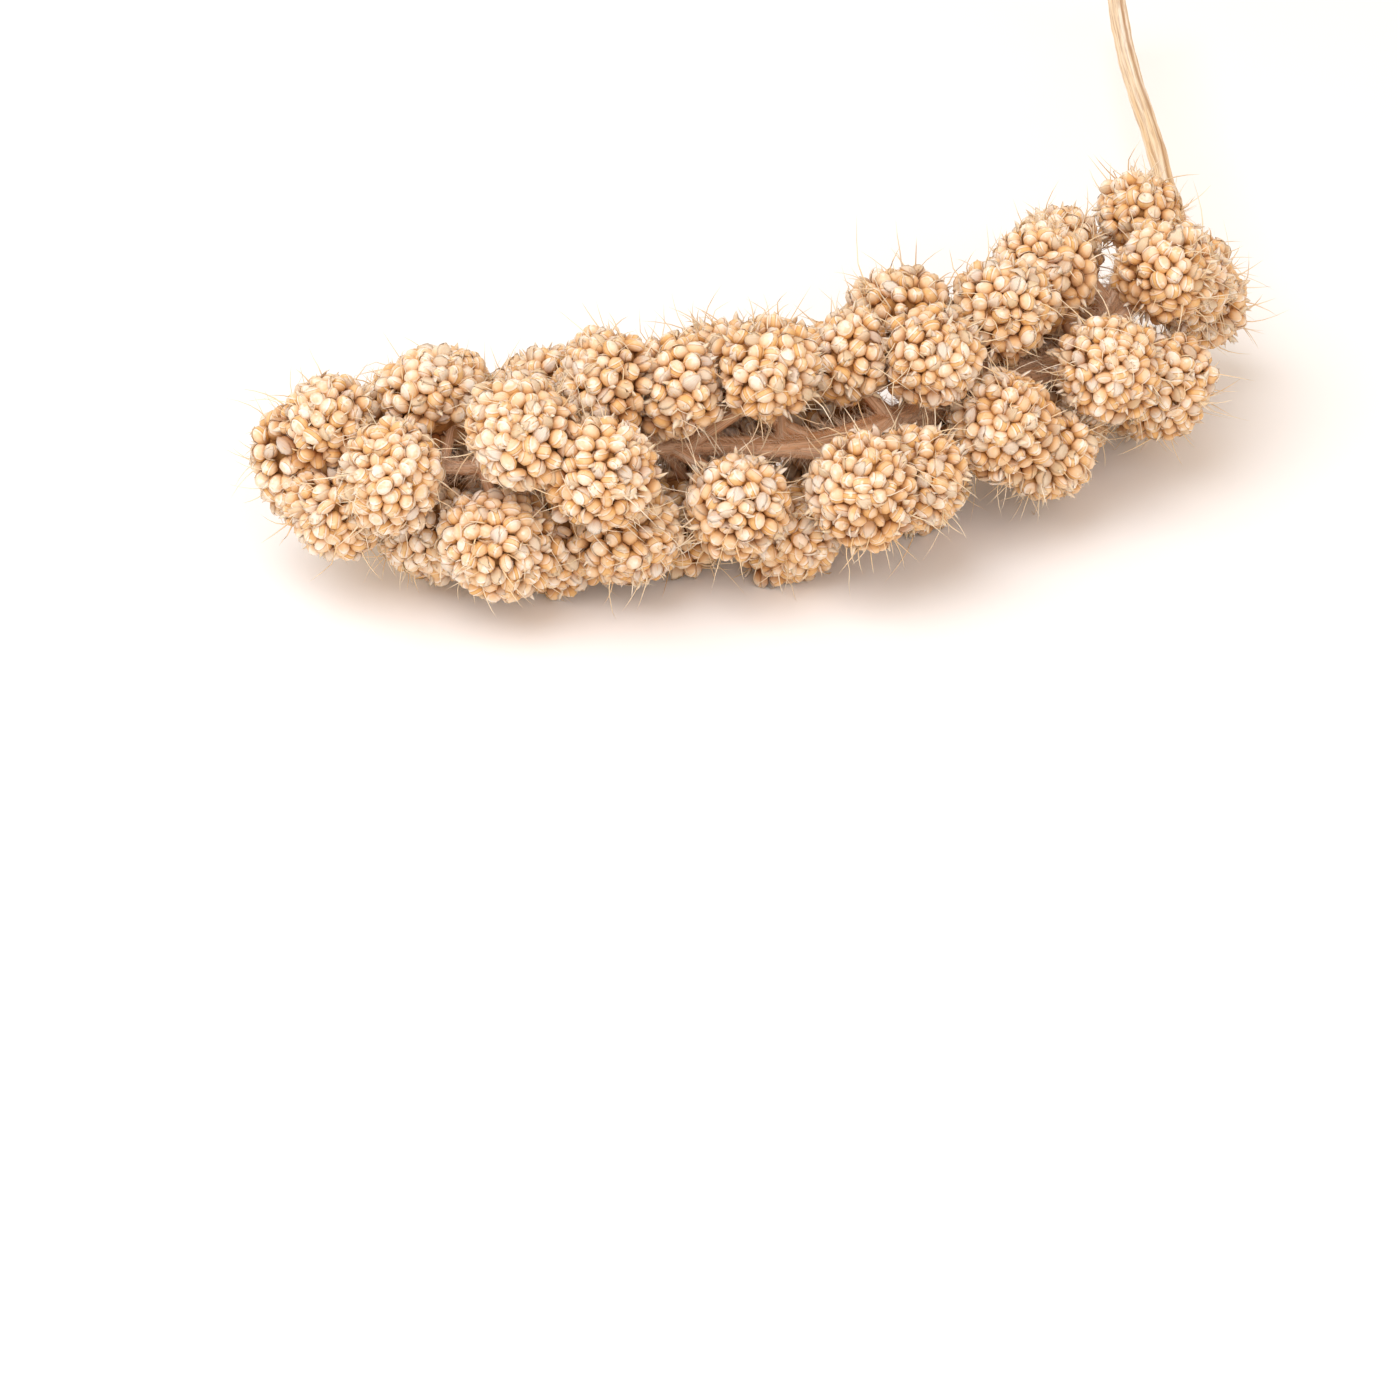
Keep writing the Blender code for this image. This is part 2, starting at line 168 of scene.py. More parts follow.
def closed_grid(rows, sides):
    """A closed surface's grid: v runs from 0 at its foot to 1 at its tip, and u once around it.

    Each end is a single point. Gives u, v, the quads and the triangles, which face outwards where u
    turns anticlockwise seen from the tip.
    """
    ring = np.arange(1, rows)
    u = np.concatenate([[0.0], np.tile(np.arange(sides) / sides, rows - 1), [0.0]])
    v = np.concatenate([[0.0], np.repeat(ring / rows, sides), [1.0]])
    a = np.arange(sides)
    b = (a + 1) % sides
    low = 1 + np.arange(rows - 2)[:, None] * sides
    quads = np.stack([low + a, low + b, low + b + sides, low + a + sides], axis=-1).reshape(-1, 4)
    last = len(u) - 1
    top = last - sides
    foot = np.stack([np.zeros(sides, int), b + 1, a + 1], axis=-1)
    tip = np.stack([np.full(sides, last), a + top, b + top], axis=-1)
    return u, v, quads, np.concatenate([foot, tip])


GRAIN_GRID = closed_grid(6, 8)
LEAF_GRID = closed_grid(5, 6)
EMPTY_HUSK_GRID = closed_grid(4, 4)
BRISTLE_GRID = closed_grid(5, 3)
HAIR_GRID = closed_grid(3, 3)
CORE_GRID = closed_grid(8, 14)
STALK_GRID = closed_grid(320, 36)
BRANCH_GRID = closed_grid(12, 8)


def between_ends(v):
    """1 along a grid, and 0 at its two end points."""
    return (v > 0.0) & (v < 1.0)


def copies(faces, count, points_each):
    """The faces of a grid, repeated for each of its copies."""
    shift = np.arange(count) * points_each
    return (faces[None] + shift[:, None, None]).reshape(-1, faces.shape[1])


def sheet(points, grid, slot, own, tone, depth_and_shade=0.0):
    """Closed surfaces for a mesh: copies of one grid, with what the material reads at each point.

    own is the point's place on its own grain, tone a random number for the grain, and
    depth_and_shade how far it lies below the cluster's outline, which the materials paint as shade,
    with more painted shade on grains facing away from the key lamp.
    """
    count, each = points.shape[:2]
    quads, triangles = grid[2:]
    spread = np.zeros((count, each))
    return {
        "points": points.reshape(-1, 3),
        "quads": copies(quads, count, each),
        "triangles": copies(triangles, count, each),
        "slot": slot,
        "own": (own + spread[..., None]).reshape(-1, 3),
        "tone": (tone + spread).ravel(),
        "depth_and_shade": (depth_and_shade + spread).ravel(),
    }


def along_only(grid):
    """A hair's own places: only how far each point is along it."""
    v = grid[1]
    return np.stack([0.0 * v, 0.0 * v, v], axis=-1)[None]


def mesh_piece(name, sheets, materials):
    """One object from several sheets. Their arrays go into the mesh whole."""
    start = np.cumsum([0] + [len(s["points"]) for s in sheets])
    quads = np.concatenate([s["quads"] + k for s, k in zip(sheets, start)])
    triangles = np.concatenate([s["triangles"] + k for s, k in zip(sheets, start)])
    slots = [np.full(len(s["quads"]), s["slot"]) for s in sheets]
    slots += [np.full(len(s["triangles"]), s["slot"]) for s in sheets]
    corners = np.concatenate([quads.ravel(), triangles.ravel()])
    sizes = np.concatenate([np.full(len(quads), 4), np.full(len(triangles), 3)])
    points = np.concatenate([s["points"] for s in sheets])
    points[:, 2] = np.maximum(points[:, 2], 0.0)
    mesh = bpy.data.meshes.new(name)
    mesh.vertices.add(len(points))
    mesh.loops.add(len(corners))
    mesh.polygons.add(len(sizes))
    loop_starts = np.concatenate([[0], np.cumsum(sizes)[:-1]])
    fill(mesh.vertices, "co", points * METRES, np.float32)
    fill(mesh.loops, "vertex_index", corners, np.int32)
    fill(mesh.polygons, "loop_start", loop_starts, np.int32)
    fill(mesh.polygons, "material_index", np.concatenate(slots), np.int32)
    mesh.update(calc_edges=True)
    fill(mesh.polygons, "use_smooth", np.ones(len(sizes)), bool)
    own = mesh.attributes.new("own", "FLOAT_VECTOR", "POINT")
    fill(own.data, "vector", np.concatenate([s["own"] for s in sheets]), np.float32)
    for key in ("tone", "depth_and_shade"):
        values = mesh.attributes.new(key, "FLOAT", "POINT")
        fill(values.data, "value", np.concatenate([s[key] for s in sheets]), np.float32)
    for made_of in materials:
        mesh.materials.append(made_of)
    obj = bpy.data.objects.new(name, mesh)
    bpy.context.scene.collection.objects.link(obj)
    return obj


def fill(items, key, values, kind):
    """Puts a whole array into one field of a mesh's items."""
    items.foreach_set(key, values.astype(kind).ravel())


# The clusters' rounded forms, read from the CAD nodes


class Outline:
    """The convex outline of a CAD cluster: its planes, its middle, and the hole for its branch."""

    def __init__(self, node):
        bm = bmesh.new()
        bm.from_mesh(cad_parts[node].data)
        bmesh.ops.remove_doubles(bm, verts=bm.verts, dist=1e-6)
        points = np.array([v.co[:] for v in bm.verts]) / METRES
        self.middle = (points.min(axis=0) + points.max(axis=0)) / 2.0
        deepest = int(np.linalg.norm(points - self.middle, axis=1).argmin())
        bm.verts.ensure_lookup_table()
        hole_floor = [f.normal[:] for f in bm.verts[deepest].link_faces]
        self.hole_end = points[deepest]
        self.axis = -unit(np.mean(hole_floor, axis=0))
        hull = bmesh.ops.convex_hull(bm, input=bm.verts)["geom"]
        faces = [f for f in hull if isinstance(f, bmesh.types.BMFace)]
        normals = np.array([f.normal[:] for f in faces])
        places = np.array([f.verts[0].co[:] for f in faces]) / METRES
        bm.free()
        away = ((places - self.middle) * normals).sum(axis=1)
        self.normals = normals * np.sign(away)[:, None]
        self.distances = np.abs(away)
        self.size = float(np.median(self.distances))
        self.joins = []

    def join(self, others, most):
        """Notes the neighbours whose grains crowd against its own, up to most mm out of the round.

        Two clusters less than 0.8 of their sizes apart crowd fully, and those 1.25 apart no longer.
        """
        for other in others:
            off = other.middle - self.middle
            apart = float(np.linalg.norm(off))
            close = apart / (self.size + other.size)
            if 0.0 < close < 1.25:
                angle = math.acos(min(1.0, 0.5 * apart / self.size))
                height = most * (1.0 - smooth((close - 0.8) / 0.45))
                self.joins.append((off / apart, angle, height))

    def reach(self, directions, inset=0.0):
        """How far the outline, drawn in by inset, is from its middle: the nearest of its planes.

        Round the place where it meets a neighbour it swells by a bell curve of the angle from
        there, to fill the notch between the two.
        """
        towards = directions @ self.normals.T
        room = np.maximum(self.distances - inset, 0.05)
        every = np.where(towards > 1e-4, room / np.maximum(towards, 1e-4), np.inf)
        swell = np.zeros(directions.shape[:-1])
        for way, angle, height in self.joins:
            off = np.arccos(np.clip(directions @ way, -1.0, 1.0)) - angle
            swell = np.maximum(swell, height * bell(off, SWELL_ANGLE))
        return every.min(axis=-1) + swell

    def surface(self, directions, inset):
        """The points of the outline, drawn in by inset, in the given directions."""
        return self.middle + directions * self.reach(directions, inset)[:, None]

    def outward(self, directions):
        """The normal of the outline, softened over neighbouring planes."""
        towards = np.maximum(directions @ self.normals.T, 1e-4)
        reach = self.distances / towards
        weight = reach.min(axis=-1, keepdims=True) / reach
        return unit(weight**14 @ self.normals)

    def area(self, inset):
        """Of the outline, drawn in by inset: 6% more than a ball's of the same mean square radius."""
        reach = self.reach(spiral(400), inset)
        return 4.0 * math.pi * float((reach**2).mean()) * 1.06

    def clear_of_branch(self, places, room):
        """Which places are further than room from the line of the branch, below the hole's end."""
        off = places - self.hole_end
        along = off @ self.axis
        beside = np.linalg.norm(off - along[:, None] * self.axis, axis=1)
        return (beside > room) | (along > 0.0)


# Forms


def grain_form(grid):
    """A husked grain about its own axis: a ball, drawn out to a blunt point at its tip.

    The distance from its middle is 1 plus a narrow bell curve round the tip, and the side away from
    its bulge, where y is negative, is a tenth flatter.
    """
    u, v = grid[:2]
    turn = u * FULL_TURN
    polar = math.pi * (1.0 - v)
    far = 1.0 + BEAK * bell(polar, BEAK_ANGLE)
    x = far * np.sin(polar) * np.cos(turn)
    y = far * np.sin(polar) * np.sin(turn)
    y = np.where(y < 0.0, y * FLAT_BACK, y)
    return np.stack([x, y, far * np.cos(polar)], axis=-1)


def leaf_form(grid, wide, flare, lift, ripple):
    """A papery husk leaf that hugs its grain, as a thin closed shell with sharp edges.

    Across the leaf, x is the cosine of u, and its sine gives the two faces. The leaf runs from 145
    to 6 degrees from the grain's tip, is widest half way up and pointed at both ends. It stands off
    the grain by lift at its edges and by flare at its tip, and ripple bends it in waves. wide,
    flare, lift and ripple hold a value per leaf.
    """
    u, v = grid[:2]
    x = np.cos(u * FULL_TURN)
    face = np.sin(u * FULL_TURN)
    outline = np.sin(math.pi * v).clip(0.0) ** 0.7
    turn = math.pi / 2.0 - x * outline * wide[:, None]
    polar = math.radians(145.0) + (math.radians(6.0) - math.radians(145.0)) * v
    off = 1.035 + lift[:, None] * (x * outline) ** 2 + flare[:, None] * v**3
    off = off + ripple[:, None] * np.sin(7.0 * x + 5.0 * v + 20.0 * wide[:, None]) * v
    far = (off + 0.022 * face * outline) * (1.0 + BEAK * bell(polar, BEAK_ANGLE))
    flat = far * np.sin(polar)
    points = np.stack([flat * np.cos(turn), flat * np.sin(turn), far * np.cos(polar)], axis=-1)
    return np.stack([x * outline, v, 0.0 * v], axis=-1)[None], points


def empty_husk_form(grid, bend):
    """An empty, pointed husk along z, as a thin closed leaf, bent to one side by bend.

    Its half width goes with the 0.7 power of the sine of v, and falls by 0.45 of itself towards the
    tip. Its section is a shallow V.
    """
    u, v = grid[:2]
    turn = u * FULL_TURN
    wide = np.sin(math.pi * v).clip(0.0) ** 0.7 * (1.0 - 0.45 * v)
    across = wide * np.cos(turn)
    x = EMPTY_HUSK_HALF_WIDTH * across
    y = 0.11 * wide * np.sin(turn) + 1.3 * x**2 + bend[:, None] * v**2
    points = np.stack(np.broadcast_arrays(x, y, EMPTY_HUSK_LENGTH * v), axis=-1)
    return np.stack([across, v, 0.0 * v], axis=-1)[None], points


def placed(form, centres, turned, sizes):
    """Copies of a form, each scaled, turned to its own three axes and moved to its own centre."""
    if form.ndim == 2:
        form = np.broadcast_to(form, (len(centres), *form.shape))
    return centres[:, None] + np.einsum("gni,gij->gnj", form * sizes[:, None], turned)


def hair_points(grid, start, way, bend, length, radius, kink=0.0):
    """Hairs: a thin round profile carried along a bent path, tapering to its tip.

    The path is start + length * (way * t + bend * t squared + kink past 0.62), and the radius
    falls from radius to a quarter of it.
    """
    u, v = grid[:2]
    t = v[None, :, None]
    kink = (kink + np.zeros_like(way))[:, None]
    path = way[:, None] * t + bend[:, None] * t**2 + kink * np.maximum(t - 0.62, 0.0)
    tangent = unit(way[:, None] + 2.0 * bend[:, None] * t + kink * (t > 0.62))
    across = unit(np.cross(tangent, np.array([0.31, 0.22, 0.92])))
    second = np.cross(tangent, across)
    turn = (u * FULL_TURN)[None, :, None]
    thick = radius[:, None, None] * (between_ends(v) * (1.0 - 0.75 * v))[None, :, None]
    centre = start[:, None] + path * length[:, None, None]
    return centre + thick * (np.cos(turn) * across + np.sin(turn) * second)


# A cluster


def spread_grains(outline, inset, draw):
    """Directions of the grains: a spiral, shaken, then pushed apart until they lie about evenly."""
    count = int(outline.area(inset) / (GRAIN_SPACING**2 * PACKING))
    directions = spiral(count)
    directions = unit(directions + draw.normal(scale=0.09, size=directions.shape))
    for _ in range(12):
        places = directions * outline.reach(directions, inset)[:, None]
        apart = places[:, None] - places[None]
        distance = np.linalg.norm(apart, axis=2) + np.eye(count) * 9.0
        push = np.maximum(GRAIN_CLEARANCE - distance, 0.0) * 0.3
        move = (apart / distance[..., None] * push[..., None]).sum(axis=1)
        directions = unit(places + move)
    return directions


class Grains:
    """The grains of one cluster: their middles, the way they point, sizes and random tones.

    They sink into the cluster in broad lobes and small bunches. tip is 1 at the head's tip.
    """

    def __init__(self, outline, tip, draw):
        inset = GRAIN_INSET + (TIP_INSET - GRAIN_INSET) * tip
        directions = spread_grains(outline, inset, draw)
        lobes = waves(directions, 3.5, draw)
        bunches = waves(directions, 9.0, draw)
        sunk = draw.uniform(-0.22, 0.22, len(directions)) + 0.2 * lobes + 0.24 * bunches + 0.32
        reach = outline.reach(directions, inset) - sunk
        centres = outline.middle + directions * reach[:, None]
        keep = outline.clear_of_branch(centres, BRANCH_ROOM)
        self.centres, directions = centres[keep], directions[keep]
        self.centres[:, 2] = np.maximum(self.centres[:, 2], GRAIN_HALF_LENGTH)
        count = len(directions)
        lean = draw.normal(scale=0.5, size=(count, 3))
        axes = unit(0.6 * outline.outward(directions) + 0.2 * outline.axis + lean)
        self.turned = frames(axes, draw)
        unfilled = draw.uniform(size=count) < UNFILLED
        wide = np.where(unfilled, UNFILLED_WIDTH, 1.0) * draw.uniform(0.88, 1.07, count)
        thick = wide * draw.uniform(0.94, 1.0, count)
        self.sizes = np.stack([wide, thick, draw.uniform(0.92, 1.08, count)], axis=1)
        pale, any_tone = draw.uniform(0.85, 1.0, count), draw.uniform(0.0, 1.0, count)
        self.tone = np.where(unfilled, pale, any_tone)
        self.outline = outline

    def dress(self, form, own, grid, slot, chosen=slice(None)):
        """The sheet of a form that the chosen grains carry, at the grains' own size."""
        size = np.array([GRAIN_HALF_WIDTH, GRAIN_HALF_WIDTH, GRAIN_HALF_LENGTH])
        centres = self.centres[chosen]
        points = placed(form * size, centres, self.turned[chosen], self.sizes[chosen])
        depth_and_shade = depth_and_shade_of(self.outline, points, centres)
        return sheet(points, grid, slot, own, self.tone[chosen][:, None], depth_and_shade)


def depth_and_shade_of(outline, points, centres):
    """How deep each point lies, which the materials paint as shade: 0 at its grain's top and about
    0.5 half way down.

    It is more on a grain that is sunk, and more again, as painted shade, on a grain that faces
    down and away from the key lamp, and on one that faces the rachis.
    """
    out = unit(centres - outline.middle)
    down = 1.0 - ((points - centres[:, None]) * out[:, None]).sum(axis=-1) / GRAIN_HALF_LENGTH
    sunk = outline.reach(out) - np.linalg.norm(centres - outline.middle, axis=1) - TIP_INSET
    # Painted shade: more on grains facing away from the key lamp and on those facing the rachis.
    painted_side_shade = 0.08 * (1.0 - out @ KEY_LAMP_SIDE) + 0.1 * np.maximum(-out @ outline.axis, 0.0)
    return np.clip(0.45 * down + (0.3 * np.clip(sunk, 0.0, 1.0) + painted_side_shade)[:, None], 0.0, 1.0)


def grain_sheet(grains):
    form = grain_form(GRAIN_GRID)
    return grains.dress(form, form[None], GRAIN_GRID, GRAIN)


def leaf_sheet(grains, draw):
    """Husk leaves on most of the grains. A few are crumpled flakes that stand well off the grain."""
    chosen = np.flatnonzero(draw.uniform(size=len(grains.centres)) < 1.0 - BARE_GRAINS)
    count = len(chosen)
    crumpled = draw.uniform(size=count) < CRUMPLED
    wide = draw.uniform(0.45, 0.95, count)
    flare = np.where(crumpled, draw.uniform(0.15, 0.5, count), draw.uniform(0.0, 0.16, count))
    lift = np.where(crumpled, draw.uniform(0.1, 0.3, count), draw.uniform(0.03, 0.13, count))
    ripple = np.where(crumpled, 0.08, 0.02)
    own, form = leaf_form(LEAF_GRID, wide, flare, lift, ripple)
    return grains.dress(form, own, LEAF_GRID, HUSK, chosen)


def empty_husk_sheet(outline, draw):
    """Empty pointed husks that stick out between the grains."""
    directions = unit(draw.normal(size=(EMPTY_HUSKS, 3)))
    start = outline.surface(directions, 1.05)
    keep = outline.clear_of_branch(start, BRANCH_ROOM + 0.15)
    start, directions = start[keep], directions[keep]
    count = len(start)
    axes = unit(outline.outward(directions) + draw.normal(scale=0.5, size=(count, 3)))
    turned = frames(axes, draw)
    own, form = empty_husk_form(EMPTY_HUSK_GRID, draw.uniform(-0.5, 0.5, count))
    points = placed(form, start, turned, draw.uniform(0.75, 1.1, (count, 1)))
    tone = draw.uniform(0.3, 1.0, (count, 1))
    # Painted shade: more depth towards the empty husk's foot between the grains, which its material
    # paints browner.
    return sheet(points, EMPTY_HUSK_GRID, HUSK, own, tone, 0.5 * (1.0 - EMPTY_HUSK_GRID[1]))


def core_sheet(outline):
    """The heart of the cluster: its outline drawn in, on a grid of latitude and longitude."""
    points = outline.surface(unit(grain_form(CORE_GRID)), CORE_INSET)[None]
    return sheet(points, CORE_GRID, HEART, points, 0.5, 1.0)


def bristle_sheet(outline, draw):
    """Bristles that stand out between the grains, mostly round the sides and the foot."""
    directions = unit(draw.normal(size=(BRISTLES * 4, 3)))
    along = directions @ outline.axis
    directions = directions[(along < 0.6) & (along > -0.85)][:BRISTLES]
    start = outline.surface(directions, CORE_INSET)
    count = len(start)
    lean = draw.normal(scale=0.42, size=(count, 3))
    way = unit(outline.outward(directions) + 0.45 * outline.axis + lean)
    side = unit(np.cross(way, draw.normal(size=(count, 3))))
    bend = side * draw.uniform(0.3, 1.1, (count, 1))
    kink = unit(draw.normal(size=(count, 3)))
    kink = kink * np.where(draw.uniform(size=(count, 1)) < 0.3, 0.9, 0.0)
    short = draw.uniform(size=count) < 0.5
    length = np.where(short, draw.uniform(*SHORT_BRISTLE, count), draw.uniform(*LONG_BRISTLE, count))
    radius = draw.uniform(*BRISTLE_RADIUS, count)
    points = hair_points(BRISTLE_GRID, start, way, bend, length, radius, kink)
    tone = draw.uniform(size=(count, 1))
    return sheet(points, BRISTLE_GRID, BRISTLE, along_only(BRISTLE_GRID), tone)


def cluster_sheets(outline, tip, draw):
    """Grains, husk leaves, empty husks, heart and bristles of one cluster."""
    grains = Grains(outline, tip, draw)
    sheets = [grain_sheet(grains), leaf_sheet(grains, draw)]
    return sheets + [empty_husk_sheet(outline, draw), core_sheet(outline), bristle_sheet(outline, draw)]


# The stalk


class Axis:
    """The centreline of the stalk. Its heading turns smoothly and weaves, and it rises to the rachis."""

    def __init__(self):
        self.s = np.arange(0.0, STEM_LENGTH + RACHIS_LENGTH + AXIS_STEP, AXIS_STEP)
        turn = BEND * smooth((self.s - BEND_START) / (BEND_END - BEND_START))
        weave = np.sin(FULL_TURN * (self.s - WAVE_ZERO) / WAVE_LENGTH)
        weave = WAVE * weave * smooth((self.s - WAVE_START) / WAVE_GROWTH)
        stem = STEM_TURN * (1.0 - smooth(self.s / STEM_TURN_END))
        stem = stem + KINK * bell(self.s - KINK_PLACE, KINK_LENGTH)
        heading = np.radians(START_HEADING + turn + weave + stem)
        x = CUT_END[0] + np.cumsum(np.cos(heading)) * AXIS_STEP
        y = CUT_END[1] + np.cumsum(np.sin(heading)) * AXIS_STEP
        z = AXIS_HEIGHT - STEM_DROOP * (1.0 - smooth(self.s / STEM_LENGTH))
        self.points = np.stack([x, y, z], axis=1)

    def place(self, s):
        return np.stack([np.interp(s, self.s, self.points[:, k]) for k in range(3)], axis=-1)

    def at(self, s):
        """Points, tangents, sideways and upwards directions at distances s from the cut end."""
        tangent = unit(self.place(s + 1.0) - self.place(s - 1.0))
        side = unit(np.cross(tangent, [0.0, 0.0, 1.0]))
        return self.place(s), tangent, side, np.cross(side, tangent)


def stalk_radius(s):
    """Even along the stem, flared at the foot of the head, and tapered to the tip."""
    flare = smooth((s - STEM_LENGTH + FLARE_LENGTH) / FLARE_LENGTH)
    taper = np.clip((s - STEM_LENGTH) / RACHIS_LENGTH, 0.0, 1.0)
    return STEM_RADIUS + (FLARE_RADIUS - STEM_RADIUS) * flare + (TIP_RADIUS - FLARE_RADIUS) * taper


def stalk_sheet(axis):
    """The stem and rachis: a ribbed round profile carried along the centreline.

    The radius is the stalk's, less ribs that follow sine waves of the turn and wind slowly round
    it, and less two lengthwise grooves, each a bell curve of the turn that wanders a little. Slow
    sine waves along it keep it uneven.
    """
    u, v = STALK_GRID[:2]
    first, last = v[1], v[-2]
    s = np.clip((v - first) / (last - first), 0.0, 1.0) * axis.s[-1]
    place, _, side, up = axis.at(s)
    turn = u * FULL_TURN
    head = smooth((s - STEM_LENGTH + 10.0) / 16.0)
    foot = smooth((s - STEM_LENGTH + 20.0) / 18.0)
    wind = RIB_WINDING * s
    ribs = 0.5 - 0.5 * np.cos(RIBS * turn + wind) + 0.25 * np.sin(FINE_RIBS * turn - wind)
    main = bell(turn - MAIN_GROOVE - 0.1 * np.sin(0.1 * s), 0.2 + 0.15 * foot)
    beside = bell(turn - SIDE_GROOVE + 0.1 * np.sin(0.13 * s), SIDE_GROOVE_WIDTH)
    groove = main * (1.0 - 0.6 * head) + 0.6 * beside * (1.0 - head)
    uneven = 1.0 + 0.03 * np.sin(0.55 * s) + 0.02 * np.sin(1.3 * s + 2.0 * turn)
    radius = stalk_radius(s) * (0.98 + 0.17 * head - (0.05 + 0.03 * head) * ribs)
    radius = radius * (1.0 - (0.16 + 0.25 * foot) * groove) * uneven * between_ends(v)
    points = place - (radius * np.cos(turn))[:, None] * side + (radius * np.sin(turn))[:, None] * up
    own = np.stack([np.cos(turn), np.sin(turn), s], axis=-1)
    return sheet(points[None], STALK_GRID, 0, own[None], head, groove)


def branches(axis, outlines):
    """Where each cluster's branch leaves the rachis, where it ends inside its cluster, and how
    thick it is at its foot.
    """
    ends = np.array([o.hole_end - 0.3 * o.axis for o in outlines])
    ways = np.array([o.axis for o in outlines])
    along = (axis.points[None] - ends[:, None]) @ ways[:, :, None]
    beside = np.linalg.norm(axis.points[None] - ends[:, None] - along * ways[:, None], axis=2)
    reachable = (along[..., 0] < -0.5) & (axis.s > STEM_LENGTH)
    nearest = np.where(reachable, beside, np.inf).argmin(axis=1)
    thick = np.minimum(THICKEST_BRANCH, 0.75 * stalk_radius(axis.s[nearest]))
    return axis.points[nearest], ends, thick


def branch_sheet(axis, outlines):
    """A branch from the rachis into each cluster: a round profile carried along a straight line.

    Its radius goes evenly from foot to end, and widens by half at the foot where it joins.
    """
    roots, ends, thick = branches(axis, outlines)
    u, v = BRANCH_GRID[:2]
    centre = roots[:, None] + (ends - roots)[:, None] * v[None, :, None]
    way = unit(ends - roots)
    across = unit(np.cross(way, np.array([0.3, 0.2, 1.0])))
    second = np.cross(way, across)
    turn = (u * FULL_TURN)[None, :, None]
    radius = thick[:, None] * (1.0 + 0.5 * np.exp(-5.0 * v)) + (BRANCH_END_RADIUS - thick[:, None]) * v
    ring = np.cos(turn) * across[:, None] + np.sin(turn) * second[:, None]
    points = centre + (radius * between_ends(v))[..., None] * ring
    own = np.stack([np.cos(u * FULL_TURN), np.sin(u * FULL_TURN), 6.0 * v], axis=-1)
    own = own + np.arange(len(ends))[:, None, None] * np.array([0.0, 0.0, 11.0])
    return sheet(points, BRANCH_GRID, 0, own, 1.0)


def rachis_hair_sheet(axis, draw):
    """Short soft hairs on the rachis, leaning towards the tip."""
    s = draw.uniform(STEM_LENGTH - 4.0, axis.s[-1] - 1.0, RACHIS_HAIRS)
    place, tangent, side, up = axis.at(s)
    turn = draw.uniform(0.0, FULL_TURN, (RACHIS_HAIRS, 1))
    out = np.cos(turn) * side + np.sin(turn) * up
    return hair_sheet(place + out * stalk_radius(s)[:, None] * 0.95, out, tangent, draw)


def branch_hair_sheet(axis, outlines, draw):
    """The same hairs on the branches, leaning towards the clusters."""
    roots, ends, thick = branches(axis, outlines)
    pick = draw.integers(len(roots), size=BRANCH_HAIRS)
    way = unit(ends - roots)[pick]
    out = unit(np.cross(way, draw.normal(size=(BRANCH_HAIRS, 3))))
    along = draw.uniform(0.05, 0.9, (BRANCH_HAIRS, 1))
    start = roots[pick] + (ends - roots)[pick] * along + out * thick[pick, None] * 0.7
    return hair_sheet(start, out, way, draw)


def hair_sheet(start, out, along, draw):
    """Fine bent hairs from the given places, which stand out and lean along the stalk."""
    count = len(start)
    way = unit(out + 0.9 * along + draw.normal(scale=0.4, size=(count, 3)))
    bend = draw.normal(scale=0.28, size=(count, 3))
    length = draw.uniform(*HAIR_LENGTH, count)
    radius = draw.uniform(*HAIR_RADIUS, count)
    points = hair_points(HAIR_GRID, start, way, bend, length, radius)
    return sheet(points, HAIR_GRID, 0, along_only(HAIR_GRID), draw.uniform(size=(count, 1)))


# Materials


def linear(code):
    """A hex sRGB colour as linear red, green, blue and alpha."""
    parts = [int(code[k : k + 2], 16) / 255.0 for k in (1, 3, 5)]
    return (*[c / 12.92 if c <= 0.04045 else ((c + 0.055) / 1.055) ** 2.4 for c in parts], 1.0)


def add(tree, kind, inputs=(), stops=(), **settings):
    """Adds a node with its settings. Each of its inputs, by name or number, takes a value, a hex
    colour, or the node or output that feeds it. stops are a ramp's places, with a colour or a grey.
    """
    made = tree.nodes.new("ShaderNode" + kind)
    for name, value in settings.items():
        setattr(made, name, value)
    for key, value in dict(inputs).items():
        if isinstance(value, bpy.types.Node):
            value = value.outputs[2 if value.bl_idname == "ShaderNodeMix" else 0]
        if isinstance(value, bpy.types.NodeSocket):
            tree.links.new(value, made.inputs[key])
        else:
            made.inputs[key].default_value = linear(value) if isinstance(value, str) else value
    for _ in stops[2:]:
        made.color_ramp.elements.new(0.5)
    for k, (place, colour) in enumerate(stops):
        made.color_ramp.elements[k].position = place
        grey_or_hex = linear(colour) if isinstance(colour, str) else (colour, colour, colour, 1.0)
        made.color_ramp.elements[k].color = grey_or_hex
    return made


def cells(size, unit_length=GRAIN_HALF_WIDTH):
    """How many cells of a pattern, each of a size in mm, go into one unit of its coordinate."""
    return unit_length / size


def new_material(name):
    """An empty material, and what its surface reads: place on the grain, random tone, and depth with
    painted shade.
    """
    made = bpy.data.materials.new(name)
    made.use_nodes = True
    tree = made.node_tree
    tree.nodes.clear()
    own = add(tree, "Attribute", attribute_name="own").outputs["Vector"]
    tone = add(tree, "Attribute", attribute_name="tone").outputs["Fac"]
    depth_and_shade = add(tree, "Attribute", attribute_name="depth_and_shade").outputs["Fac"]
    return made, tree, own, tone, depth_and_shade


def tinted(tree, colour, tint, amount, stops):
    """The colour, with a tint over it where the ramp of stops says, as amount goes from 0 to 1."""
    share = add(tree, "ValToRGB", {"Fac": amount}, stops)
    return add(tree, "Mix", {0: share, 6: colour, 7: tint}, data_type="RGBA")


